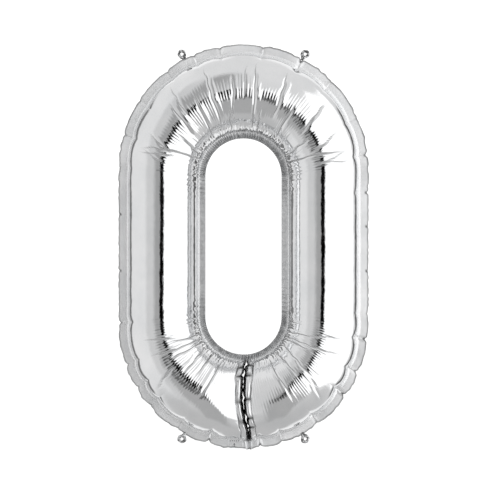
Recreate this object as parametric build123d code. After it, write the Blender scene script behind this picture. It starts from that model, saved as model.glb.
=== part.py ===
"""Foil number balloon: an inflated figure 0 made from two die-cut film panels.

The ring is one long gas chamber. It is closed at the bottom by two end seals that meet at a slit, so the
panels are C-shaped. Every edge has a flat seal flange, four small hanging tabs are cut in the outer flange,
and a flat self-sealing valve enters through the neck beside the slit.

Frame: X across the figure, Y through it with the front panel towards -Y, Z up. The origin is the centre of
the bounding box, which is also the middle of the ring in the plane of the seals. Units are millimetres.
"""

from build123d import *

import os
from math import asin, cos, degrees, radians, sin, sqrt

# Driving dimensions of the inflated figure, in the plane of the seals
HEIGHT = 340.0
WIDTH = 210.0
HOLE_HEIGHT = 181.4
HOLE_WIDTH = 63.8
OUTER_FLANGE = 8.0
INNER_FLANGE = 6.0
FILM = 0.3  # one film, thicker than the real 0.04 so that it can be a solid

# The two end seals that meet at the slit
SLIT_X = 3.0
SLIT_HALF = 1.0  # half of the gap between the two folded end flanges
END_START = 22.0  # from the slit's middle to where the tube starts to flatten
END_STOP = 2.2  # and to the end seal
END_DEPTH = 1.5  # half depth of the chamber at the end seal
END_FLANGE = 7.5  # length of each end flange, folded towards the front
RUN_DEPTH = 0.25  # thickness of its stretch between the seal and the fold

# Filling neck, left of the slit, and the flat valve in it
NECK_LEFT = -13.0
NECK_RIGHT = -2.4
NECK_WALL = 1.0  # seal beside the channel
CHANNEL_HALF = 0.25
VALVE_FILM = 0.15
VALVE_GAP = 0.05  # from the plane of the seals to each valve film
VALVE_SIDE_GAP = 0.4
VALVE_LENGTH = 50.0
VALVE_SET_BACK = 0.6  # from the mouth to the valve's outer end
VALVE_FOLD = 10.5  # from the mouth to the fold where the free flaps start
VALVE_FOLD_HALF = 0.2

# Hanging tabs
TAB_ANGLE = 28.2  # from the vertical, seen from the centre of the end arc
TAB_RADIUS = 3.7
TAB_HOLE_RADIUS = 1.3
TAB_CENTRE_OUT = 4.6  # from the flange's edge
TAB_ROOT_WIDTH = 2.8
TAB_FOLD_HALF = 0.35  # half of the gap at the fold line

# Worked out from the above
OUTER_R = WIDTH / 2
HOLE_R = HOLE_WIDTH / 2
OUTER_CENTRE = (HEIGHT - WIDTH) / 2  # height of the outer end arc's centre
HOLE_CENTRE = (HOLE_HEIGHT - HOLE_WIDTH) / 2
OUTER_SEAL_R = OUTER_R - OUTER_FLANGE
INNER_SEAL_R = HOLE_R + INNER_FLANGE
OUTER_SEAL_Z = OUTER_CENTRE + OUTER_SEAL_R
MOUTH_Z = -HEIGHT / 2
NECK_TOP = 1.5 - OUTER_SEAL_Z

# Sections that the panels are lofted through
TOP_STEP = 5  # degrees between sections on the top arc
BOTTOM_STEPS = 16  # sections on each half of the bottom arc
END_STEPS = 7  # sections along the stretch that flattens towards an end seal
PAST = 1.0  # how far a section runs past the plane of the seals, before it is trimmed there
FAR = 400.0


def block(x, y, z):
    """Box from its three ranges."""
    size = [high - low for low, high in (x, y, z)]
    middle = [(high + low) / 2 for low, high in (x, y, z)]
    return Pos(*middle) * Box(*size)


def panel_section(inner, outer, depth):
    """Section of the front film across two seal points: a flange, the arched wall and a flange."""
    across = outer - inner
    half = across.length / 2
    plane = Plane(origin=(inner + outer) / 2, x_dir=across, z_dir=across.cross(Vector(0, -1, 0)))
    left, right = -half - INNER_FLANGE, half + OUTER_FLANGE
    lift = degrees(asin(FILM / depth))  # where the wall leaves the flange's outer face
    outside = EllipticalCenterArc((0, 0), half, depth, start_angle=lift, arc_size=180 - 2 * lift)
    inside = EllipticalCenterArc((0, 0), half - FILM, depth - FILM, start_angle=0, arc_size=180)
    right_side = Polyline(inside @ 0, (half - FILM, -PAST), (right, -PAST), (right, FILM), outside @ 0)
    left_side = Polyline(outside @ 1, (left, FILM), (left, -PAST), (FILM - half, -PAST), inside @ 1)
    outline = [*outside.edges(), *right_side.edges(), *left_side.edges(), *inside.edges()]
    return plane * make_face(outline)


def arc_section(inner_angle, outer_angle, up):
    """Section between two angles from the vertical, on the top (up=1) or bottom (up=-1) arc of the ring."""
    s, c = sin(radians(inner_angle)), cos(radians(inner_angle))
    inner = Vector(INNER_SEAL_R * s, 0, up * (HOLE_CENTRE + INNER_SEAL_R * c))
    s, c = sin(radians(outer_angle)), cos(radians(outer_angle))
    outer = Vector(OUTER_SEAL_R * s, 0, up * (OUTER_CENTRE + OUTER_SEAL_R * c))
    return panel_section(inner, outer, (outer - inner).length / 2)


def bottom_sections(side):
    """Sections of half of the bottom arc, which turn from upright beside the slit to level at the leg."""
    x = abs(SLIT_X + side * END_START)
    found = []
    for i in range(1, BOTTOM_STEPS + 1):
        share = i / BOTTOM_STEPS
        angles = [degrees(asin(x / r)) * (1 - share) + 90 * share for r in (INNER_SEAL_R, OUTER_SEAL_R)]
        found.append(arc_section(side * angles[0], side * angles[1], -1))
    return found


def upright_seals(x):
    """Inner and outer seal points of the upright section at x on the bottom arc."""
    inner = Vector(x, 0, -HOLE_CENTRE - sqrt(INNER_SEAL_R**2 - x**2))
    outer = Vector(x, 0, -OUTER_CENTRE - sqrt(OUTER_SEAL_R**2 - x**2))
    return inner, outer


def end_section(share, side):
    """Section along the stretch where the tube flattens, from its start (0) to its end seal (1)."""
    inner, outer = upright_seals(SLIT_X + side * (END_START - share * (END_START - END_STOP)))
    depth = (outer - inner).length / 2 * cos(radians(90 * share))
    return panel_section(inner, outer, max(END_DEPTH, depth))


def film_wall():
    """Front film and its flanges, from the left end seal up, over the top and down to the right one."""
    shares = [i / END_STEPS for i in range(END_STEPS + 1)]
    sections = [end_section(share, -1) for share in reversed(shares)]
    sections += bottom_sections(-1)
    sections += [arc_section(angle, angle, 1) for angle in range(-90, 91, TOP_STEP)]
    sections += reversed(bottom_sections(1))
    sections += [end_section(share, 1) for share in shares]
    return loft(sections, ruled=True)


def end_cap(side):
    """The front film's share of an end seal, which closes the chamber's last section."""
    inner, outer = upright_seals(SLIT_X + side * END_STOP)
    seal = Plane(origin=(inner + outer) / 2, x_dir=(0, 0, 1), z_dir=(side, 0, 0))
    half = (outer - inner).length / 2
    return extrude(seal * Ellipse(half - FILM / 2, END_DEPTH - FILM / 2), amount=FILM, both=True)


def end_flange_ranges(side, nest):
    """Ranges of an end flange: X along the plane of the seals, X of the folded part, and Z of both."""
    near = SLIT_HALF + nest
    run = sorted((SLIT_X + side * near, SLIT_X + side * (END_STOP + FILM)))
    fold = sorted((SLIT_X + side * near, SLIT_X + side * (near + FILM)))
    return run, fold, (MOUTH_Z + 1, -HOLE_CENTRE - HOLE_R - 1)


def half_envelope(nest):
    """One film as the front one lies: wall, flanges, end seals and the raised part over the valve."""
    shape = film_wall()
    shape += block((NECK_LEFT, NECK_RIGHT), (-CHANNEL_HALF - FILM, PAST), (MOUTH_Z + 0.3, NECK_TOP))
    for side in (-1, 1):
        run, _, height = end_flange_ranges(side, nest)
        shape += end_cap(side)
        shape += block(run, (-RUN_DEPTH, 1.5 * PAST), height)
    shape -= block((-FAR, FAR), (0, FAR), (-FAR, FAR))
    channel = (NECK_LEFT + NECK_WALL, NECK_RIGHT - NECK_WALL)
    return shape - block(channel, (-CHANNEL_HALF, FAR), (MOUTH_Z - 1, NECK_TOP + 2))


def front_panel():
    """Front film, whose end flanges fold to the front along the slit."""
    shape = half_envelope(FILM)
    for side in (-1, 1):
        _, fold, height = end_flange_ranges(side, FILM)
        shape += block(fold, (-END_FLANGE, -RUN_DEPTH / 2), height)
    return shape


def back_panel():
    """Back film, whose end flanges fold to the front too, along the inner faces of the front film's."""
    shape = mirror(half_envelope(0), about=Plane.XZ)
    for side in (-1, 1):
        _, fold, height = end_flange_ranges(side, 0)
        shape += block(fold, (-END_FLANGE, RUN_DEPTH / 2), height)
    return shape


def valve_film(front, low, high):
    """Strip of one valve film between two distances from the mouth."""
    near, far = VALVE_GAP, VALVE_GAP + VALVE_FILM
    depth = (-far, -near) if front else (near, far)
    inset = NECK_WALL + VALVE_SIDE_GAP
    return block((NECK_LEFT + inset, NECK_RIGHT - inset), depth, (MOUTH_Z + low, MOUTH_Z + high))


def hanging_tab(side, up):
    """Eyelet outside the outer flange, both films fused, with the gap of its fold line at the root."""
    root = OUTER_R + 2 * TAB_FOLD_HALF
    centre = OUTER_R + TAB_CENTRE_OUT
    outline = Pos(0, centre) * Circle(TAB_RADIUS)
    outline += Pos(0, (root + centre) / 2) * Rectangle(TAB_ROOT_WIDTH, centre - root)
    outline -= Pos(0, centre) * Circle(TAB_HOLE_RADIUS)
    films = extrude(Plane.XZ * outline, amount=FILM, both=True)
    turn = side * TAB_ANGLE if up > 0 else side * (180 - TAB_ANGLE)
    return Pos(0, 0, up * OUTER_CENTRE) * Rot(0, turn, 0) * films


def main():
    os.makedirs("parts", exist_ok=True)
    fixed = (VALVE_SET_BACK, VALVE_FOLD - VALVE_FOLD_HALF)
    free = (VALVE_FOLD + VALVE_FOLD_HALF, VALVE_LENGTH)
    pieces = {
        "front_panel": front_panel(),
        "back_panel": back_panel(),
        "valve_front_film": valve_film(True, *fixed),
        "valve_back_film": valve_film(False, *fixed),
        "valve_front_flap": valve_film(True, *free),
        "valve_back_flap": valve_film(False, *free),
    }
    for up, level in ((1, "top"), (-1, "bottom")):
        for side, hand in ((-1, "left"), (1, "right")):
            pieces[f"tab_{level}_{hand}"] = hanging_tab(side, up)
    for name, shape in pieces.items():
        export_step(shape, f"parts/{name}.step")


main()
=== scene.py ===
"""Looks of the foil number balloon: two creased film panels with crimped flanges, eyelet tabs and a valve.

Each panel is one grid of film. Its columns run along the ring from one end seal, round the figure, to the
other, and its rows run from the hole's edge to the outer edge. A distance along the ring is called t, and the
share of the way from the inner seal to the outer one is called s. Sizes are in millimetres until a mesh is
made.
"""

from math import cos, pi, radians, sin

import bpy
import numpy as np
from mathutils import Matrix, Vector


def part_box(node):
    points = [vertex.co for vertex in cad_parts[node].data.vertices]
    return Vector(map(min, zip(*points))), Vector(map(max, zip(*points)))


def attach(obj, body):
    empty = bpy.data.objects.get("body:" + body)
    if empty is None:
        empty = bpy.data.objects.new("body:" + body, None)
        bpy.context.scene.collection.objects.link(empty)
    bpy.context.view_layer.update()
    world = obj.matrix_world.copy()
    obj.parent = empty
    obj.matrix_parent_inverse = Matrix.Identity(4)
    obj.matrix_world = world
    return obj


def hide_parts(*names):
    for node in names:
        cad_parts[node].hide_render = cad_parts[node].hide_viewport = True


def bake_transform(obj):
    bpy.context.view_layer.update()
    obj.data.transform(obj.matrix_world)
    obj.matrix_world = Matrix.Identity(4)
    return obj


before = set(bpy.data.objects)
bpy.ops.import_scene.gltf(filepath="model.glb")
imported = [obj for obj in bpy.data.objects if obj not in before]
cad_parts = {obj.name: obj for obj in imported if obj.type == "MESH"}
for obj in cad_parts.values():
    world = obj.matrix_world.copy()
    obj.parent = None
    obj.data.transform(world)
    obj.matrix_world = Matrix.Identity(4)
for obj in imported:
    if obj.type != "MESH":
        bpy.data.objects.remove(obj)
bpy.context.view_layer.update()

MM = 0.001

# The filled figure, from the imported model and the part's driving sizes
HALF_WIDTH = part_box("front_panel")[1].x / MM
HALF_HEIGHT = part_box("front_panel")[1].z / MM
HOLE_R = 31.9
HOLE_CENTRE = 58.8
OUTER_FLANGE = 8.0
INNER_FLANGE = 6.0
OUTER_SEAL_R = HALF_WIDTH - OUTER_FLANGE
OUTER_CENTRE = HALF_HEIGHT - HALF_WIDTH
INNER_SEAL_R = HOLE_R + INNER_FLANGE

# The slit, with the end seals and their folded flanges
SLIT_X = 3.0
SEAL_FROM_SLIT = 0.04
VALLEY = 38.0  # from an end seal to where the tube has its full depth
LIP = 3.8  # from an end seal to the lip of its groove
LIP_SHARE = 0.60  # how much of the full depth the lip has
LIP_FOLD = 6.0  # from an end seal to the fold beyond the lip
LEFT_BREAKS = (-101.0, -108.0, -128.5, -146.0, -163.0)  # heights of the crimps left of the slit
RIGHT_BREAKS = (-99.0, -107.0, -127.0, -142.5, -150.5, -165.0)
BOW_HEIGHTS = (-175, -168, -154, -137, -125, -108, -93, -80)
BOW = (2.0, 2.0, 1.2, -2.6, -3.6, -3.0, 0.2, 0.5)  # how far right of its line the slit is at those heights
BOW_REACH = 22.0  # how far from the slit the film still bows with it
END_FLANGE = 7.0
LEFT_END_BREAKS = (-128.0, -146.0)  # heights of the left end flange's crimps
RIGHT_END_BREAKS = (-127.5, -142.0)

# The neck over the valve, and the spot over the inner end of the valve's weld
NECK_LEFT = -13.0
NECK_RIGHT = -2.4
NECK_MIDDLE = (NECK_LEFT + NECK_RIGHT) / 2
NECK_TOP = -159.0
NECK_RAISE = 0.4
NECK_EDGE = 0.8  # width of its rounded sides
DIMPLE = (-22.4, -155.0)
DIMPLE_R = 6.0
DIMPLE_DEPTH = 0.9

# Pleats on the arcs: fine ones at the tube's crest, then those at the inner seal, the outer seal and the hole
PLEAT = 2.35
PLEAT_DEPTH = 0.17
INNER_PLEAT = 4.3
OUTER_PLEAT = 3.1
FLANGE_PLEAT = 3.6

# Steps between the outer seal's crimps on the arcs and on the legs, and the depth of its scallops:
# everywhere, what the arcs add, and what the bottom arc adds to that
CRIMP_STEP = 20.0
LEG_CRIMP_STEP = 34.0
SCALLOP = 0.1
ARC_SCALLOP = 0.9
BOTTOM_SCALLOP = 1.1

# The film's grid
COLUMNS = 1690
ROWS = 44
FLANGE_ROWS = 5
END_COLUMNS = 5
LEG_COLUMN = 0.8  # the legs are plain, so their columns are this far apart
LAYER = 0.07  # from the plane of the seals to each film
LAYOUT_STRIPS = 4  # the ring is cut into this many strips in its flat layout

# Hanging tabs
TAB_ANGLE = 28.2  # from the vertical, seen from the centre of the end arc
TAB_RADIUS = 3.7
TAB_HOLE_RADIUS = 1.3
TAB_CENTRE_OUT = 4.6  # from the flange's edge
TAB_STEM = TAB_CENTRE_OUT + 1.3  # from the tab's centre to the end of its root, inside the flange
TAB_STEM_ANGLE = 0.24  # half of the root's width, as an angle at the tab's centre
TAB_FILM = 0.28
TAB_SPOKES = 96
TAB_RINGS = 12

# Marks printed on the neck
DOTS = 5
DOT_R = 0.42
DOT_STEP = 1.7
DOT_Z = -163.2
FIRST_DOT = 1.9  # from the neck's left edge
ARROW_HEIGHTS = (-168.2, -166.4, -164.9)  # the shaft's lower end, the head's base and its tip
ARROW_SHAFT = 0.3  # half width
ARROW_HEAD = 1.0  # half width
INK_LAYER = 0.05

# Camera, in metres, but the sensor in millimetres
VIEW_WIDTH = 0.42  # at the balloon
CAMERA_AWAY = 1.7
SENSOR_WIDTH = 36.0

# Floor and reflection tent. Each card of the tent is its brightness, its first and last azimuth, its lowest
# and highest elevation, and its soft edge, in degrees; a later card covers an earlier one. The dark spot is
# the same without a brightness. The side window gets higher with the azimuth, up to its top and its bottom.
FLOOR_HALF = 4000
FLOOR_Z = -260
TENT_RADIUS = 3200.0
TENT_STEP = 0.5
TENT_LEVEL = 0.76
TENT_CARDS = (
    (0.84, -140, -50, -40, 60, 16),
    (0.68, -56, -8, -35, 55, 16),
    (0.40, -28, -6, -35, 55, 16),
    (0.44, -34, 40, -66, -9, 14),
    (0.14, -26, 24, -18, -8, 4),
    (0.12, 121, 133, -35, 30, 5),
    (1.00, 136, 168, -55, 55, 12),
    (0.20, -140, -124, -35, 30, 6),
    (1.00, -170, -143, -55, 55, 12),
)
DARK_SPOT = (-10, 2, -11, 11, 2.5)
SIDE_LEVEL = 1.3
SIDE_FIRST = 1
SIDE_LAST = 116
SIDE_START = 7.0
SIDE_SPREAD = 0.75
SIDE_TOP = 46.0
SIDE_BOTTOM = 36.0
SIDE_SOFT = 7

# The ring's stretches: left half of the bottom arc, left leg, top arc, right leg, right half of the bottom
BOTTOM_LENGTH = 118.0
LEG_LENGTH = HOLE_CENTRE + OUTER_CENTRE
TOP_LENGTH = pi * (INNER_SEAL_R + OUTER_SEAL_R) / 2
RING = np.cumsum([0, BOTTOM_LENGTH, LEG_LENGTH, TOP_LENGTH, LEG_LENGTH, BOTTOM_LENGTH])


def ease(x):
    """Smooth step from 0 to 1."""
    x = np.clip(x, 0, 1)
    return x * x * (3 - 2 * x)


def wander(x, step, seed):
    """Smooth random curve between -1 and 1, with a new value every step."""
    x = np.asarray(x, float) / step + 100
    values = np.random.default_rng(seed).uniform(-1, 1, 4000)
    cell = np.floor(x).astype(int)
    part = ease(x - cell)
    return values[cell] * (1 - part) + values[cell + 1] * part


def wander2(x, y, step_x, step_y, seed):
    """Smooth random surface between -1 and 1."""
    x = np.asarray(x, float) / step_x + 50
    y = np.asarray(y, float) / step_y + 50
    values = np.random.default_rng(seed).uniform(-1, 1, (700, 400))
    i, j = np.floor(x).astype(int), np.floor(y).astype(int)
    u, v = ease(x - i), ease(y - j)
    low = values[i, j] * (1 - u) + values[i + 1, j] * u
    high = values[i, j + 1] * (1 - u) + values[i + 1, j + 1] * u
    return low * (1 - v) + high * v


def drawn(number, low, high, seed):
    """A random value of its own for each number."""
    return np.random.default_rng(seed).uniform(low, high, 2000)[number]


def ring_places():
    """Distances of the columns along the ring: close together on the arcs, wider on the legs."""
    leg = int(LEG_LENGTH / LEG_COLUMN)
    on_arcs = COLUMNS - 1 - 2 * leg
    bottom = round(on_arcs * BOTTOM_LENGTH / (2 * BOTTOM_LENGTH + TOP_LENGTH))
    counts = (bottom, leg, on_arcs - 2 * bottom, leg, bottom)
    stretches = zip(RING[:-1], RING[1:], counts)
    parts = [np.linspace(low, high, count, endpoint=False) for low, high, count in stretches]
    return np.append(np.concatenate(parts), RING[-1])


def seal_points(t):
    """Inner and outer seal points (X, Z) of the sections at distances t along the ring."""
    share = np.clip((t[:, None] - RING[:-1]) / np.diff(RING), 0, 1)
    part = np.clip(np.searchsorted(RING, t, side="right") - 1, 0, 4)
    on_bottom = (part == 0) | (part == 4)
    on_leg = (part == 1) | (part == 3)
    up_leg = np.where(part == 1, share[:, 1], 1 - share[:, 3])
    points = []
    for radius, centre in ((INNER_SEAL_R, HOLE_CENTRE), (OUTER_SEAL_R, OUTER_CENTRE)):
        left = np.arcsin((SLIT_X - SEAL_FROM_SLIT) / radius)
        right = np.arcsin((SLIT_X + SEAL_FROM_SLIT) / radius)
        angle = left + (-pi / 2 - left) * share[:, 0]
        angle = np.where(part >= 2, -pi / 2 + pi * share[:, 2], angle)
        angle = np.where(part == 4, pi / 2 + (right - pi / 2) * share[:, 4], angle)
        z = np.where(on_bottom, -1, 1) * (centre + radius * np.cos(angle))
        x = np.where(on_leg, np.where(part == 1, -radius, radius), radius * np.sin(angle))
        z = np.where(on_leg, centre * (2 * up_leg - 1), z)
        points.append(np.stack([x, z], 1))
    return points


def arc_weight(t, fade=30.0):
    """1 on the arcs and 0 on the legs, with a soft change just inside each leg."""
    weight = np.ones_like(t)
    for low, high in ((RING[1], RING[2]), (RING[3], RING[4])):
        inside = np.minimum(t - low, high - t)
        weight = np.minimum(weight, 1 - ease(inside / fade))
    return weight


def crimp_places(seed):
    """Where the outer seal is crimped: uneven steps, wider on the legs."""
    rng = np.random.default_rng(seed)
    places = [9.0]
    while places[-1] < RING[-1] - 12:
        on_arc = arc_weight(np.array([places[-1] + 8.0]))[0]
        step = LEG_CRIMP_STEP - (LEG_CRIMP_STEP - CRIMP_STEP) * on_arc
        places.append(places[-1] + step * rng.uniform(0.65, 1.35))
    return np.array(places)


CRIMPS = crimp_places(11)
CRIMP_DEPTH = np.random.default_rng(12).uniform(0.2, 1.15, len(CRIMPS)) ** 2


def scallop(t):
    """Outward shape of the outer seal, 0 at each crimp and 1 between crimps, and the stretch's number."""
    edges = np.concatenate([[CRIMPS[0] - 22], CRIMPS, [CRIMPS[-1] + 22]])
    cell = np.clip(np.searchsorted(edges, t, side="right") - 1, 0, len(edges) - 2)
    share = (t - edges[cell]) / (edges[cell + 1] - edges[cell])
    return np.sin(pi * np.clip(share, 0, 1)) ** 0.55, cell


def near_crimps(t, width):
    """A crimp's own depth at the crimp, falling to 0 at width on each side."""
    total = np.zeros_like(t)
    for place, depth in zip(CRIMPS, CRIMP_DEPTH):
        total = np.maximum(total, depth * np.clip(1 - np.abs(t - place) / width, 0, 1))
    return total


def pleats(t, spacing, seed, shift=0.3):
    """Rounded film between sharp inward creases, 0 on average, and each pleat's own number."""
    place = t / spacing + shift * wander(t, 11.0, seed) + 40
    number = np.floor(place).astype(int)
    return np.sin(pi * (place - number)) ** 0.8 - 0.62, number


# Long creases on each side: angle from the vertical (or from straight down), first and last share across
# the tube, slant in degrees, depth and width
TOP_CREASES = (
    (-22.8, 0.24, 0.74, 2.0, 1.3, 4.5), (8.5, 0.14, 0.72, -3.0, 1.5, 4.5),
    (26.0, 0.34, 0.72, -3.0, 1.4, 5.0), (53.0, 0.40, 0.70, -4.0, 1.2, 5.0),
    (-50.0, 0.33, 0.64, 4.0, 1.2, 4.5), (-36.0, 0.16, 0.52, 3.0, 0.9, 3.5),
    (-8.0, 0.30, 0.60, 3.0, 0.9, 4.0), (39.0, 0.18, 0.50, -2.0, 1.0, 4.0),
    (-72.0, 0.45, 0.66, 6.0, 0.9, 4.0), (71.0, 0.42, 0.66, -5.0, 0.9, 4.0),
    (64.0, 0.15, 0.42, -3.0, 0.9, 4.0), (-63.0, 0.12, 0.40, 4.0, 0.9, 4.0),
    (16.0, 0.10, 0.36, -2.0, 0.8, 3.0), (-14.0, 0.10, 0.34, 2.0, 0.8, 3.0),
    (81.0, 0.52, 0.70, -4.0, 0.7, 3.0), (-81.0, 0.50, 0.68, 5.0, 0.7, 3.0),
    (1.0, 0.44, 0.70, 1.0, 0.7, 3.0), (-43.0, 0.50, 0.78, 3.0, 0.7, 3.5),
    (76.0, 0.08, 0.66, 6.0, 0.9, 2.6), (-73.0, 0.10, 0.70, -9.0, 0.9, 2.6),
    (-79.0, 0.42, 0.70, -4.0, 0.8, 2.4), (84.0, 0.44, 0.70, 3.0, 0.8, 2.4),
)
BOTTOM_CREASES = (
    (-72.0, 0.12, 0.44, -5.0, 1.2, 4.5), (-62.0, 0.10, 0.50, -4.0, 1.2, 4.5),
    (-52.0, 0.12, 0.46, 3.0, 1.1, 4.0), (-42.0, 0.10, 0.40, -2.0, 1.0, 4.0),
    (-30.0, 0.14, 0.55, -3.0, 1.0, 4.5), (30.0, 0.14, 0.56, 3.0, 1.0, 4.5),
    (42.0, 0.10, 0.44, 3.0, 1.1, 4.0), (52.0, 0.12, 0.52, -3.0, 1.1, 4.5),
    (63.0, 0.10, 0.42, 4.0, 1.2, 4.5), (74.0, 0.14, 0.40, 5.0, 1.1, 4.0),
    (-56.0, 0.52, 0.74, 4.0, 0.7, 4.0), (47.0, 0.55, 0.76, -4.0, 0.7, 4.0),
    (68.0, 0.08, 0.66, 6.0, 0.9, 2.6), (-67.0, 0.08, 0.62, -7.0, 0.9, 2.6),
    (-78.0, 0.40, 0.66, -4.0, 0.8, 2.4), (79.0, 0.38, 0.64, 4.0, 0.8, 2.4),
)


def crease_lines(front):
    """Each crease's place along the ring, shares, slant, depth and width. The back's are mirrored."""
    flip = 1 if front else -1
    lines = []
    for angle, low, high, slant, depth, width in TOP_CREASES:
        place = RING[2] + (flip * angle + 90) / 180 * TOP_LENGTH
        lines.append((place, low, high, flip * slant / 180 * TOP_LENGTH, depth, width))
    for angle, low, high, slant, depth, width in BOTTOM_CREASES:
        from_end = BOTTOM_LENGTH * abs(angle) / 90
        place = from_end if flip * angle < 0 else RING[-1] - from_end
        lines.append((place, low, high, -flip * slant / 90 * BOTTOM_LENGTH, depth, width))
    return lines


def long_creases(t, s, radial, front, seed):
    """Height of the long creases, and the painted shade along their sharp bottoms."""
    height = 0 * t
    painted_shade = 0 * t
    for place, low, high, slant, drop, width in crease_lines(front):
        share = np.clip((s - low) / (high - low), 0, 1)
        line = place + slant * (share - 0.5) + 0.8 * wander(s, 0.06, seed + int(place))
        across = (t - line) * radial
        fade = ease((s - low) / 0.06 + 0.5) * ease((high - s) / 0.10 + 0.5) * (0.5 + 0.5 * np.sin(pi * share))
        groove = np.clip(1 - np.abs(across) / (0.42 * width), 0, 1) ** 1.3
        shoulder = np.exp(-(((across - 0.7 * width) / (0.4 * width)) ** 2))
        height += 0.55 * drop * fade * (0.45 * shoulder - groove)
        # painted shade: a thin dark line along each crease's sharp bottom, where the mirror film sees only
        # itself
        thin = np.clip(1.2 - np.abs(across) / 0.55, 0, 1)
        painted_shade = np.maximum(painted_shade, 0.85 * np.minimum(drop, 1) * np.minimum(1.4 * fade, 1) * thin)
    return height, painted_shade


def crown_pleats(t, s, arcs, radial, seed):
    """Comb of fine pleats across the crown, each with a start, an end and a depth of its own."""
    lean = 2.5 * (s - 0.5) * wander(t, 30.0, seed + 5)
    comb, number = pleats(t + lean, PLEAT, seed + 6)
    outer_end = drawn(number, 0.61, 0.70, seed + 3) + 0.02 * wander(t, 26.0, seed + 3)
    inner_end = drawn(number, 0.30, 0.43, seed + 4) + 0.05 * wander(t, 17.0, seed + 4)
    crown = ease((outer_end - s) / 0.15) * ease((s - inner_end + 0.16) / 0.20)
    crown *= drawn(number, 0.35, 1.0, seed + 2) * (0.75 + 0.25 * wander(t, 19.0, seed + 2))
    return PLEAT_DEPTH * (0.14 + 0.86 * arcs) * crown * comb * radial


def inner_crumple(t, s, arcs, seed):
    """Short pleats that start at the inner seal, and the crumple between them."""
    small, number = pleats(t, INNER_PLEAT, seed + 8, 0.6)
    reach = drawn(number, 0.14, 0.36, seed + 7)
    pleated = 0.60 * arcs * ease((reach - s) / 0.08) * small * drawn(number, 0.4, 1.2, seed + 9)
    return pleated + 0.36 * arcs * ease((0.22 - s) / 0.08) * wander2(t, s, 2.6, 0.045, seed + 12)


def outer_dents(t, s, arcs, seed):
    """Dents that run in from the outer seal's crimps, and short puckers between them."""
    dents = (0.9 * arcs + 0.2) * ease((s - 0.78) / 0.20) * near_crimps(t, 2.8 + 22 * (1 - s))
    small, number = pleats(t, OUTER_PLEAT, seed + 10, 0.6)
    pucker = ease((s - drawn(number, 0.89, 0.96, seed + 11)) / 0.05)
    return 0.16 * (0.3 + 0.7 * arcs) * pucker * small - dents


def relief(t, s, front):
    """Height of the film's creases above its smooth shape on the chamber, and the painted shade of their
    bottoms.
    """
    seed = 100 if front else 200
    arcs = arc_weight(t)
    at_seams = ease(s / 0.03) * ease((1 - s) / 0.03)
    radial = 0.56 + 0.88 * (1 - np.cos(pi * s)) / 2  # the arcs' columns spread from the inner seal outward
    height = (0.08 + 0.20 * arcs) * wander2(t, s, 34.0, 0.30, seed)
    height += (0.02 + 0.05 * arcs) * wander2(t, s, 11.0, 0.16, seed + 1)
    height += crown_pleats(t, s, arcs, radial, seed)
    height += inner_crumple(t, s, arcs, seed)
    height += outer_dents(t, s, arcs, seed)
    creases, painted_shade = long_creases(t, s, radial, front, seed)
    return (height + creases) * at_seams, painted_shade


def slit_crimps(from_seal, z, side):
    """Height of the lips, folds and crimps beside the slit, and the painted shade of the folds and crimps."""
    height = 0 * z
    painted_shade = 0 * z
    fold_line = from_seal - LIP_FOLD - 0.6 * wander(z, 5.0, 71)
    # painted shade: a broken dark line along the fold beyond the lip
    outline = np.clip(1.3 - np.abs(fold_line) / 0.55, 0, 1) * ease(0.65 + 0.9 * wander(z, 6.0, 75))
    ragged = 0.35 * wander(z, 1.9, 72) * np.exp(-from_seal / 2.5)
    for breaks, here in ((LEFT_BREAKS, side < 0), (RIGHT_BREAKS, side > 0)):
        near = 0 * z
        barbs = 0 * z
        for place in breaks:
            away = np.abs(z - place)
            near = np.maximum(near, np.clip(1 - away / (1.5 + 0.12 * from_seal), 0, 1))
            barbs = np.maximum(barbs, np.clip(1.3 - away / 1.7, 0, 1))
        # painted shade: dark barbs at the crimps near the seal, and the fold's dark line
        painted_shade = np.where(here, np.maximum(barbs * ease((8.0 - from_seal) / 3.5), outline), painted_shade)
        notch = 1.5 * near * np.exp(-from_seal / 5.5)
        lobes = 0.9 * np.exp(-(((from_seal - 3.2) / 1.2) ** 2)) * (1 - near)
        fold = 1.2 * np.clip(1 - np.abs(fold_line) / 1.1, 0, 1) * (1 - 0.6 * near)
        height = height + np.where(here, ragged - notch + lobes - fold, 0)
    return height, painted_shade


def smooth_chamber(t, inner, across, half, way):
    """Points of the filled tube before it is creased, and their distance from their end seal."""
    s = np.linspace(0, 1, ROWS + 1)[None]
    flat = inner[:, None] + across[:, None] * (half * (1 - np.cos(pi * s)))[..., None]
    side = np.where(t < RING[-1] / 2, -1, 1)
    seal_x = SLIT_X + side * SEAL_FROM_SLIT
    on_bottom = ((t < RING[1]) | (t > RING[4]))[:, None]
    from_seal = np.where(on_bottom, np.abs(flat[..., 0] - seal_x[:, None]), VALLEY)
    lip = np.clip(from_seal / LIP, 0, 1)
    rise = LIP_SHARE * np.sqrt(1 - (1 - lip) ** 2)
    rise += (1 - LIP_SHARE) * np.sin(pi / 2 * np.clip(from_seal / VALLEY, 0, 1))
    depth = half * rise * np.sin(pi * s)
    return np.stack([flat[..., 0], way * depth, flat[..., 1]], -1), from_seal


def outward_normals(points, way):
    """Unit normals of a grid, pointing out of the tube."""
    normal = np.cross(np.gradient(points, axis=0), np.gradient(points, axis=1))
    normal /= np.linalg.norm(normal, axis=-1, keepdims=True) + 1e-9
    return normal * np.sign((normal[..., 1:2] * way).sum())


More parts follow.
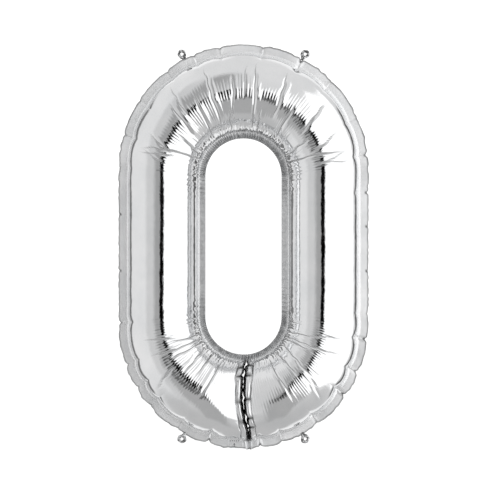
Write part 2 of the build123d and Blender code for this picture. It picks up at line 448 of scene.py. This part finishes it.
def creased_chamber(t, inner, across, half, front):
    """Points of the creased tube, and the painted shade of its sharp creases, the slit's deep inside and its
    folds.
    """
    way = -1 if front else 1
    smooth, from_seal = smooth_chamber(t, inner, across, half, way)
    x, z = smooth[..., 0], smooth[..., 2]
    s = np.linspace(0, 1, ROWS + 1)[None]
    grid_t = t[:, None] + 0 * s
    # creased: painted shade along the bottoms of the long creases
    height, creased = relief(grid_t, s + 0 * grid_t, front)
    height = height * ease(from_seal / 6.0)
    height -= DIMPLE_DEPTH * ease(1.25 - np.hypot(x - DIMPLE[0], z - DIMPLE[1]) / DIMPLE_R)
    crimped, slit_shade = slit_crimps(from_seal, z, np.where(grid_t < RING[-1] / 2, -1, 1))
    height += crimped

    ragged_edge = 2.3 + 1.0 * wander(z, 2.2, 73) + 0.5 * wander(z, 0.9, 74)  # of the painted shade inside the slit
    between_seams = ease((s - 0.06) / 0.08) * ease((0.97 - s) / 0.06)
    # painted shade: nearly black deep in the slit, and along the folds and crimps beside it
    painted_shade = np.maximum(ease(1.2 * (ragged_edge - from_seal)), slit_shade * between_seams)
    # painted shade: broken dark strokes just beside the inner seal on the arcs
    strokes = ease(0.15 + 1.6 * wander(t, 2.6, 76)) * ease(0.5 + 1.5 * wander(t, 13.0, 77)) * arc_weight(t)
    beside_seal = ease((s - 0.004) / 0.006) * ease((0.10 - s) / 0.03)
    painted_shade = np.maximum(painted_shade, 0.75 * strokes[:, None] * beside_seal)
    points = smooth + outward_normals(smooth, way) * height[..., None]
    return points, np.maximum(painted_shade, creased)


def inner_flange(t, inner, across):
    """Rows of the flange round the hole, from its cut edge to the inner seal, crumpled on the arcs."""
    steps = -INNER_FLANGE * (1 - np.arange(FLANGE_ROWS) / FLANGE_ROWS)
    flat = inner[:, None] + across[:, None] * steps[None, :, None]
    crumple = 1.5 * pleats(t, FLANGE_PLEAT, 31, 0.6)[0] + 0.8 * wander(t, 7.0, 32)
    crumple = (0.95 * arc_weight(t) + 0.05) * crumple
    y = (steps / -INNER_FLANGE)[None] * crumple[:, None]
    return np.stack([flat[..., 0], y, flat[..., 1]], -1)


def outer_flange(t, outer, across):
    """Rows of the flange outside the outer seal, each stretch between two crimps tilted its own way."""
    arcs = arc_weight(t)
    bulge, cell = scallop(t)
    share = (1 + np.arange(FLANGE_ROWS)) / FLANGE_ROWS
    flat = outer[:, None] + across[:, None] * (OUTER_FLANGE * share)[None, :, None]
    tilt = np.random.default_rng(33).uniform(-1, 1, len(CRIMPS) + 3)[cell]
    tilted = 0.45 * arcs * bulge * tilt + 0.1 * wander(t, 9.0, 34)
    creased = near_crimps(t, 2.0) * (0.35 * arcs + 0.05) * np.where(cell % 2, 1, -1)
    y = share[None] * tilted[:, None] + (share**0.5)[None] * creased[:, None]
    return np.stack([flat[..., 0], y, flat[..., 1]], -1)


def edge_shift(t, outer, rows):
    """How far each point moves outward: scallops of the outer seal, nicks and the hole's uneven edge."""
    arcs = arc_weight(t)
    bulge, _ = scallop(t)
    row = np.arange(rows)
    row_s = np.clip((row - FLANGE_ROWS) / ROWS, 0, 1)
    from_end = np.minimum(t, RING[-1] - t)
    from_neck = np.abs(outer[:, 0] - NECK_MIDDLE)
    bottom = (1 - ease((from_end - RING[1] + 30) / 30)) * ease((from_neck - 5) / 8)
    scallops = (ARC_SCALLOP * arcs + SCALLOP + BOTTOM_SCALLOP * bottom) * (bulge - 0.86)
    scallops -= 0.7 * arcs * near_crimps(t, 1.8)
    nicks = (0.25 * arcs + 0.25) * wander(t, 2.4, 36) - 0.6 * near_crimps(t, 1.6)
    jags = (0.6 * arcs + 0.05) * pleats(t, FLANGE_PLEAT, 35, 0.6)[0]
    shift = ease((row_s - 0.72) / 0.28)[None] * scallops[:, None]
    shift = shift + np.clip(row - rows + 3, 0, 2)[None] / 2 * nicks[:, None]
    return shift + (1 - ease(row_s / 0.04))[None] * jags[:, None] * (row > 0)[None]


def end_flange(edge, side):
    """Flange beyond an end seal: it folds to the front and leans away from the slit, with its own crimps."""
    z = edge[:, 2]
    breaks = LEFT_END_BREAKS if side < 0 else RIGHT_END_BREAKS
    near = sum(np.clip(1 - np.abs(z - place) / 2.6, 0, 1) for place in breaks)
    width = END_FLANGE * (0.86 + 0.14 * wander(z, 7.0, 41 + side)) * (1 - 0.42 * near)
    lean = 0.62 + 0.22 * wander(z, 9.0, 43 + side) - 0.3 * near
    steps = ((1 + np.arange(END_COLUMNS)) / END_COLUMNS)[:, None]
    curl = lean[None] * (0.1 + 1.1 * ease(steps))
    out = side * np.sin(curl) * width / END_COLUMNS
    forward = -np.cos(curl) * width / END_COLUMNS
    x = edge[None, :, 0] + np.cumsum(out, 0)
    y = edge[None, :, 1] + np.cumsum(forward, 0) + 0.3 * near * steps
    return np.stack([x, y, z[None] + 0.7 * near * steps], -1)


def film_grid(front):
    """Points of one panel, with how much of each is seal and how much painted shade it has, as grids of
    columns by rows.
    """
    way = -1 if front else 1
    t = ring_places()
    inner, outer = seal_points(t)
    across = outer - inner
    length = np.linalg.norm(across, axis=1, keepdims=True)
    across /= length
    chamber, chamber_shade = creased_chamber(t, inner, across, length / 2, front)
    grid = np.concatenate([inner_flange(t, inner, across), chamber, outer_flange(t, outer, across)], 1)
    shift = edge_shift(t, outer, grid.shape[1])
    grid[..., 0] += shift * across[:, None, 0]
    grid[..., 2] += shift * across[:, None, 1]
    grid = np.concatenate([end_flange(grid[0], -1)[::-1], grid, end_flange(grid[-1], 1)])

    seal = np.ones(grid.shape[1])
    seal[FLANGE_ROWS : FLANGE_ROWS + ROWS + 1] = 0
    seal[[FLANGE_ROWS, -FLANGE_ROWS - 1]] = 0.5
    weight = np.ones(grid.shape[:2])
    weight[END_COLUMNS:-END_COLUMNS] = seal

    painted_shade = np.zeros((COLUMNS, grid.shape[1]))
    painted_shade[:, FLANGE_ROWS : FLANGE_ROWS + ROWS + 1] = chamber_shade
    painted_shade[:, 0] = 0.3  # painted shade along the hole's cut edge
    painted_shade[:, -1] = 0.70 + 0.25 * wander(t, 5.0, 78)  # painted shade along the outer cut edge
    painted_shade[:, -2] = np.clip(near_crimps(t, 1.6), 0, 0.9)  # and painted shade at the crimps just inside it
    steps = np.arange(END_COLUMNS)[:, None] / END_COLUMNS
    shaded = ease(1.6 * (1 - steps) - 0.25)  # the painted shade fades out, so the free edges are bright
    painted_shade = np.concatenate([(painted_shade[:1] * shaded)[::-1], painted_shade, painted_shade[-1:] * shaded])

    # the neck stands a little proud over the valve, and the film near the slit bows with it
    x, z = grid[..., 0], grid[..., 2]
    raised = ease((x - NECK_LEFT + NECK_EDGE) / NECK_EDGE) * ease((NECK_RIGHT + NECK_EDGE - x) / NECK_EDGE)
    raised = raised * ease((NECK_TOP - z) / 2.0) * NECK_RAISE
    grid[..., 1] = np.where(np.abs(grid[..., 1]) < raised, way * raised, grid[..., 1]) + way * LAYER
    near_slit = ease((-80 - z) / 12) * np.exp(-((x - SLIT_X) / BOW_REACH) ** 2)
    grid[..., 0] += np.interp(z, BOW_HEIGHTS, BOW) * near_slit
    return grid, weight, painted_shade


def new_object(name, points, faces, smooth=True):
    """Mesh object from points in millimetres."""
    mesh = bpy.data.meshes.new(name)
    mesh.from_pydata([tuple(p) for p in (np.asarray(points) * MM).tolist()], [], faces)
    mesh.polygons.foreach_set("use_smooth", [smooth] * len(mesh.polygons))
    mesh.update()
    thing = bpy.data.objects.new(name, mesh)
    bpy.context.scene.collection.objects.link(thing)
    return thing


def grid_faces(columns, rows, wrap=False, flip=False, start=0):
    """Quads of a grid whose points are numbered column by column."""
    i, j = np.meshgrid(np.arange(columns if wrap else columns - 1), np.arange(rows - 1), indexing="ij")
    a = (i * rows + j).ravel()
    b = (((i + 1) % columns) * rows + j).ravel()
    quads = np.stack([a, b, b + 1, a + 1], 1) + start
    return (quads[:, ::-1] if flip else quads).tolist()


def point_values(thing, name, values):
    """Store one number for each point of a mesh, for its material to read."""
    made = thing.data.attributes.new(name, "FLOAT", "POINT")
    made.data.foreach_set("value", values.ravel().astype(np.float32))


def lay_flat(panel, columns, rows):
    """Give a panel its flat layout: the ring as strips that lie side by side."""
    layout = panel.data.uv_layers.new(name="OFBake")
    u, v = np.meshgrid(np.linspace(0.01, 0.99, columns), np.linspace(0, 1, rows), indexing="ij")
    lane = np.minimum((u * LAYOUT_STRIPS).astype(int), LAYOUT_STRIPS - 1)
    loops = np.zeros(len(panel.data.loops), int)
    panel.data.loops.foreach_get("vertex_index", loops)
    flat_u, flat_v = (u * LAYOUT_STRIPS).ravel()[loops], v.ravel()[loops]
    lanes = np.repeat(lane.ravel()[loops].reshape(-1, 4).min(1), 4)
    uv = np.stack([0.02 + 0.96 * (flat_u - lanes), (lanes + 0.03 + 0.94 * flat_v) / LAYOUT_STRIPS], 1)
    layout.data.foreach_set("uv", np.clip(uv, 0, 1).ravel().astype(np.float32))


def film_panel(name, front):
    """One panel. Its points say how much of the film is seal, how much darker mottled tone of painted shade
    the flange round the hole gets, and the painted shade of its folds.
    """
    grid, weight, painted_shade = film_grid(front)
    columns, rows = grid.shape[:2]
    panel = new_object(name, grid.reshape(-1, 3), grid_faces(columns, rows, flip=not front))
    row = np.arange(rows)
    rim = np.clip((FLANGE_ROWS - row) / 1.5, 0, 1) * np.clip(row, 0.35, 1)
    rim[-1] = 0.7  # the outer cut edge gets the darker, mottled tone of painted shade too
    arcs = np.pad(0.65 + 0.35 * arc_weight(ring_places()), END_COLUMNS, mode="edge")
    point_values(panel, "seal", weight)
    # painted shade with a random mottle: the flange round the hole is darker, more so on the arcs
    point_values(panel, "mottled_rim_shade", arcs[:, None] * rim)
    # painted shade of the folds, the slit and the cut edges
    point_values(panel, "groove", painted_shade)
    lay_flat(panel, columns, rows)
    return panel


def tab_shape(rng):
    """Distances of a tab's points along and beside its middle line, its waves and the films' half gap."""
    turn = np.linspace(0, 2 * pi, TAB_SPOKES, endpoint=False)
    root = np.abs((turn + pi) % (2 * pi) - pi)  # 0 points at the balloon

    def ripple(waves):
        return np.sin(waves * turn + rng.uniform(0, 6))

    rim = TAB_RADIUS * (1 + 0.05 * ripple(2) + 0.035 * ripple(5))
    rim = np.maximum(rim, np.where(root < TAB_STEM_ANGLE, TAB_STEM / np.cos(root), 0))
    rim += 1.1 * np.exp(-((root - 0.33) / 0.12) ** 2)  # shoulders beside the root
    hole = TAB_HOLE_RADIUS * (1 + 0.06 * ripple(3))
    share = np.linspace(0, 1, TAB_RINGS)[None]
    radius = hole[:, None] + (rim - hole)[:, None] * share
    wave = ripple(4) * 0.5 + ripple(9) * 0.35
    puff = 0.85 * np.sin(pi * np.clip(share * 1.05, 0, 1)) ** 0.7
    calm = ease((radius - 3.9) / 1.5)  # the root is nearly flat
    wavy = (0.5 * wave[:, None] * share + 0.12 * np.sin(17 * turn + 2)[:, None] * share) * (1 - 0.9 * calm)
    puff = puff * (1 + 0.35 * ripple(7)[:, None]) * (1 - calm)
    return -radius * np.cos(turn)[:, None], radius * np.sin(turn)[:, None], wavy, puff


def tab_fold_shade(seed):
    """Painted shade in patches on a tab, where its film is folded tightly."""
    turn = np.linspace(0, 2 * pi, TAB_SPOKES, endpoint=False)[:, None]
    share = np.linspace(0, 1, TAB_RINGS)[None]
    patches = wander2(turn + 0 * share, share + 0 * turn, 0.42, 0.45, seed)
    return 0.92 * ease(0.45 + 1.8 * patches)


def eyelet_tab(name, side, up):
    """Hanging tab, a crumpled ring of both films with a narrow root, and its middle and outward direction."""
    along, beside, wavy, puff = tab_shape(np.random.default_rng(60 + 2 * up + side))
    angle = radians(TAB_ANGLE)
    outward = np.array([side * sin(angle), 0, up * cos(angle)])
    sideways = np.array([up * cos(angle), 0, -side * sin(angle)])
    middle = np.array([0, 0, up * OUTER_CENTRE]) + outward * (HALF_WIDTH + TAB_CENTRE_OUT)
    points, faces = [], []
    for way in (-1, 1):
        y = wavy + way * (TAB_FILM / 2 + puff)
        layer = middle + along[..., None] * outward + beside[..., None] * sideways + y[..., None] * (0, 1, 0)
        faces += grid_faces(TAB_SPOKES, TAB_RINGS, wrap=True, flip=way * side * up > 0, start=len(points))
        points += layer.reshape(-1, 3).tolist()
    layer_size = TAB_SPOKES * TAB_RINGS
    for spoke in range(TAB_SPOKES):
        following = (spoke + 1) % TAB_SPOKES
        for ring in (0, TAB_RINGS - 1):  # the hole's edge and the outer edge join the two films
            a, b = spoke * TAB_RINGS + ring, following * TAB_RINGS + ring
            quad = [a, b, b + layer_size, a + layer_size]
            faces.append(quad if (ring == 0) == (side * up > 0) else quad[::-1])
    tab = new_object(name, points, faces)
    # painted shade: the tab's film gets the darker, mottled tone all over
    point_values(tab, "mottled_rim_shade", np.full(len(points), 0.55))
    # painted shade in patches where the tab's film is tightly folded
    point_values(tab, "groove", np.tile(tab_fold_shade(90 + 2 * up + side).ravel(), 2))
    return tab, middle, outward


def neck_marks(name, front_y):
    """Printed guide on the neck: dots in a row, and an arrow that shows where the straw goes in."""
    points, faces = [], []

    def flat(outline):
        start = len(points)
        for x, z in outline:
            points.append((x, front_y, z))
        faces.append(list(range(start, start + len(outline))))

    for step in range(DOTS):
        x = NECK_LEFT + FIRST_DOT + DOT_STEP * step
        flat([(x + DOT_R * cos(a), DOT_Z + DOT_R * sin(a)) for a in np.arange(16) * pi / 8])
    low, neck, tip = ARROW_HEIGHTS
    shaft = (NECK_MIDDLE - ARROW_SHAFT, NECK_MIDDLE + ARROW_SHAFT)
    flat([(shaft[0], low), (shaft[1], low), (shaft[1], neck), (shaft[0], neck)])
    flat([(NECK_MIDDLE - ARROW_HEAD, neck), (NECK_MIDDLE + ARROW_HEAD, neck), (NECK_MIDDLE, tip)])
    return new_object(name, points, faces, smooth=False)


class Shader:
    """Short way to write a material's nodes."""

    def __init__(self, name):
        self.material = bpy.data.materials.new(name)
        self.material.use_nodes = True
        self.tree = self.material.node_tree
        self.surface = self.tree.nodes["Principled BSDF"]

    def node(self, kind, values=(), **settings):
        """New node with its settings and the values of its sockets."""
        made = self.tree.nodes.new(kind)
        for key, value in settings.items():
            setattr(made, key, value)
        for key, value in dict(values).items():
            made.inputs[key].default_value = value
        return made

    def link(self, source, target):
        """Join an output to an input."""
        self.tree.links.new(source, target)

    def to_surface(self, source, socket):
        """Join an output to the surface shader's input of that name."""
        self.link(source, self.surface.inputs[socket])

    def place(self):
        """Place on the object, in metres."""
        return self.node("ShaderNodeTexCoord").outputs["Object"]

    def stored(self, name):
        """Number that is stored on the mesh's points."""
        return self.node("ShaderNodeAttribute", attribute_name=name).outputs["Fac"]

    def noise(self, place, scale, detail, rough=0.5, distortion=0.0):
        """Noise from about 0.3 to 0.7."""
        values = {"Scale": scale, "Detail": detail, "Roughness": rough, "Distortion": distortion}
        made = self.node("ShaderNodeTexNoise", values)
        self.link(place, made.inputs["Vector"])
        return made.outputs["Fac"]

    def spread(self, source, low, high, first=0.3, last=0.7):
        """Number from low to high, as the source goes from first to last."""
        values = {"From Min": first, "From Max": last, "To Min": low, "To Max": high}
        made = self.node("ShaderNodeMapRange", values)
        self.link(source, made.inputs["Value"])
        return made.outputs["Result"]

    def maths(self, operation, first, second):
        """Sum, product or such of two outputs or numbers."""
        made = self.node("ShaderNodeMath", operation=operation)
        for socket, value in zip(made.inputs, (first, second)):
            if isinstance(value, (int, float)):
                socket.default_value = value
            else:
                self.link(value, socket)
        return made.outputs[0]

    def bump(self, height, strength, distance, before=None):
        """Bumped normal, on top of the one before."""
        made = self.node("ShaderNodeBump", {"Strength": strength, "Distance": distance})
        self.link(height, made.inputs["Height"])
        if before:
            self.link(before, made.inputs["Normal"])
        return made.outputs["Normal"]

    def colours(self, source, stops):
        """Colour ramp with (place, colour) stops."""
        made = self.node("ShaderNodeValToRGB")
        ramp = made.color_ramp
        while len(ramp.elements) < len(stops):
            ramp.elements.new(0.5)
        for element, (place, colour) in zip(ramp.elements, stops):
            element.position = place
            element.color = (*colour, 1)
        self.link(source, made.inputs["Fac"])
        return made.outputs["Color"]


def silver_film():
    """Metallised film: a mirror with a faint haze and fine crinkle.

    Pressed seals are milky and rougher, the flange round the hole and the tabs get a darker, mottled tone as
    painted shade, and tight folds get painted shade that is nearly black.
    """
    s = Shader("silver_film")
    place = s.place()
    seal, rim, fold_shade_amount = s.stored("seal"), s.stored("mottled_rim_shade"), s.stored("groove")

    haze = s.noise(place, 38, 5, 0.6)
    tint = s.colours(haze, ((0.3, (0.80, 0.81, 0.82)), (0.7, (0.90, 0.90, 0.905))))
    crumple = s.noise(place, 300, 4, 0.6)
    mottle = s.colours(crumple, ((0.35, (0.30, 0.305, 0.31)), (0.68, (0.58, 0.585, 0.59))))
    # painted shade: a darker, mottled tone on the flange round the hole and on the tabs
    rim_shade_mix = s.node("ShaderNodeMix", data_type="RGBA")
    s.link(rim, rim_shade_mix.inputs["Factor"])
    s.link(tint, rim_shade_mix.inputs["A"])
    s.link(mottle, rim_shade_mix.inputs["B"])
    # painted shade: the folds, the slit and the cut edges go nearly black
    shade_mix = s.node("ShaderNodeMix", {"B": (0.02, 0.02, 0.02, 1)}, data_type="RGBA")
    s.link(fold_shade_amount, shade_mix.inputs["Factor"])
    s.link(rim_shade_mix.outputs["Result"], shade_mix.inputs["A"])
    s.to_surface(shade_mix.outputs["Result"], "Base Color")

    # the milky seals are less metallic; where the painted shade is, the film is not metal, so it stays dark
    seal_and_fold_shade = s.maths("MAXIMUM", fold_shade_amount, s.maths("MULTIPLY", seal, 0.38))
    s.to_surface(s.maths("SUBTRACT", 1.0, seal_and_fold_shade), "Metallic")
    rough = s.spread(s.noise(place, 90, 4, 0.55), 0.045, 0.10)
    rough = s.maths("ADD", rough, s.maths("MULTIPLY", seal, 0.24))
    s.to_surface(s.maths("ADD", rough, s.maths("MULTIPLY", fold_shade_amount, 0.5)), "Roughness")

    crinkle = s.maths("SUBTRACT", s.noise(place, 260, 3, 0.6, 0.4), 0.5)
    crinkle = s.maths("MULTIPLY", crinkle, s.maths("SUBTRACT", 1.0, s.maths("MULTIPLY", seal, 0.8)))
    pressed = s.maths("MULTIPLY", s.noise(place, 900, 2, 0.6), seal)
    normal = s.bump(s.noise(place, 70, 2, 0.5), 0.10, 0.002)
    normal = s.bump(crinkle, 0.10, 0.0006, normal)
    s.to_surface(s.bump(pressed, 0.05, 0.0004, normal), "Normal")
    return s.material


def valve_film():
    """Clear soft film with a slight cloudiness."""
    s = Shader("valve_film")
    place = s.place()
    cloud = s.noise(place, 120, 4, 0.6)
    s.to_surface(s.colours(cloud, ((0.3, (0.80, 0.83, 0.85)), (0.7, (0.90, 0.92, 0.93)))), "Base Color")
    s.to_surface(s.spread(cloud, 0.22, 0.38), "Roughness")
    s.to_surface(s.bump(s.noise(place, 500, 2), 0.2, 0.0004), "Normal")
    s.surface.inputs["Alpha"].default_value = 0.5
    return s.material


def mark_ink():
    """Grey ink, a little broken where it has printed thinly."""
    s = Shader("mark_ink")
    worn = s.noise(s.place(), 1500, 3, 0.6)
    s.to_surface(s.colours(worn, ((0.35, (0.10, 0.10, 0.11)), (0.75, (0.28, 0.28, 0.29)))), "Base Color")
    s.to_surface(s.spread(worn, 0.35, 0.6), "Roughness")
    return s.material


def floor_finish():
    """Plain pale finish for the floor."""
    s = Shader("floor_finish")
    s.surface.inputs["Base Color"].default_value = (0.93, 0.93, 0.93, 1)
    s.surface.inputs["Roughness"].default_value = 0.6
    return s.material


def window(azimuth, elevation, low, high, bottom, top, soft):
    """1 inside a rectangle of directions, falling to 0 over its soft edge, in degrees."""
    inside = ease((azimuth - low) / soft + 0.5) * ease((high - azimuth) / soft + 0.5)
    inside = inside * ease((elevation - bottom) / soft + 0.5)
    return inside * ease((top - elevation) / soft + 0.5)


def tent_glow(azimuth, elevation):
    """Brightness of the studio round the object; azimuth is from the camera's side, positive to its right."""
    glow = TENT_LEVEL - 0.22 * ease((-elevation - 15) / 50) + 0.03 * ease(elevation / 60)
    for level, *card in TENT_CARDS:
        share = window(azimuth, elevation, *card)
        glow = glow * (1 - share) + level * share
    height = SIDE_START + SIDE_SPREAD * azimuth
    share = ease((azimuth - SIDE_FIRST) / 5) * ease((SIDE_LAST - azimuth) / 8)
    share = share * ease((np.clip(height, 0, SIDE_TOP) - elevation) / SIDE_SOFT + 0.5)
    share = share * ease((np.clip(height, 0, SIDE_BOTTOM) + elevation) / SIDE_SOFT + 0.5)
    glow = glow * (1 - share) + SIDE_LEVEL * share
    return glow * (1 - window(azimuth, elevation, *DARK_SPOT))


def tent_light():
    """Light of the strength that is stored on the tent's points."""
    material = bpy.data.materials.new("tent_glow")
    material.use_nodes = True
    tree = material.node_tree
    tree.nodes.clear()
    light = tree.nodes.new("ShaderNodeEmission")
    source = tree.nodes.new("ShaderNodeAttribute")
    source.attribute_name = "glow"
    out = tree.nodes.new("ShaderNodeOutputMaterial")
    tree.links.new(source.outputs["Fac"], light.inputs["Strength"])
    tree.links.new(light.outputs[0], out.inputs[0])
    return material


def studio_tent():
    """Closed tent that only the film's reflections see: its brightness is on its points."""
    columns, rows = round(360 / TENT_STEP) + 1, round(180 / TENT_STEP) + 1
    azimuth, elevation = np.linspace(-180, 180, columns), np.linspace(-90, 90, rows)
    azimuth, elevation = np.meshgrid(azimuth, elevation, indexing="ij")
    a, e = np.radians(azimuth), np.radians(elevation)
    points = np.stack([np.sin(a) * np.cos(e), -np.cos(a) * np.cos(e), np.sin(e)], -1) * TENT_RADIUS
    tent = new_object("studio_tent", points.reshape(-1, 3), grid_faces(columns, rows))
    point_values(tent, "glow", tent_glow(azimuth, elevation))
    tent.data.materials.append(tent_light())
    tent.visible_camera = False
    tent.visible_diffuse = False
    tent.visible_shadow = False


# The camera is straight on, with the balloon a little left of and above the frame's middle
camera_data = bpy.data.cameras.new("camera")
camera_data.sensor_width = SENSOR_WIDTH
camera_data.lens = SENSOR_WIDTH * CAMERA_AWAY / VIEW_WIDTH
camera_data.shift_x = 0.013
camera_data.shift_y = -0.007
camera = bpy.data.objects.new("camera", camera_data)
camera.location = (0, -CAMERA_AWAY, 0)
camera.rotation_euler = (pi / 2, 0, 0)
bpy.context.scene.collection.objects.link(camera)
bpy.context.scene.camera = camera

# The balloon
foil = silver_film()
front = film_panel("front_film", True)
back = film_panel("back_film", False)
for panel, node in ((front, "front_panel"), (back, "back_panel")):
    panel.data.materials.append(foil)
    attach(panel, "envelope")
    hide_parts(node)

for up, level in ((1, "top"), (-1, "bottom")):
    for side, hand in ((-1, "left"), (1, "right")):
        node = f"tab_{level}_{hand}"
        tab, middle, outward = eyelet_tab(f"{node}_film", side, up)
        tab.data.materials.append(foil)
        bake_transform(tab)
        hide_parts(node)

marks = neck_marks("neck_marks", -(NECK_RAISE + LAYER + INK_LAYER))
marks.data.materials.append(mark_ink())
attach(marks, "envelope")

clear_film = valve_film()
for node in ("valve_front_film", "valve_back_film", "valve_front_flap", "valve_back_flap"):
    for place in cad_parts[node].material_slots:
        place.material = clear_film

# Plain studio: white all round, and a soft tent that only the film mirrors
world = bpy.data.worlds.new("studio")
world.use_nodes = True
world.node_tree.nodes["Background"].inputs["Color"].default_value = (1, 1, 1, 1)
world.node_tree.nodes["Background"].inputs["Strength"].default_value = 1.2
bpy.context.scene.world = world
bpy.context.scene.view_settings.view_transform = "Standard"

studio_tent()

corners = [(FLOOR_HALF * x, FLOOR_HALF * y, FLOOR_Z) for x, y in ((-1, -1), (1, -1), (1, 1), (-1, 1))]
floor = new_object("floor", corners, [[0, 1, 2, 3]])
floor.data.materials.append(floor_finish())
floor.visible_glossy = False
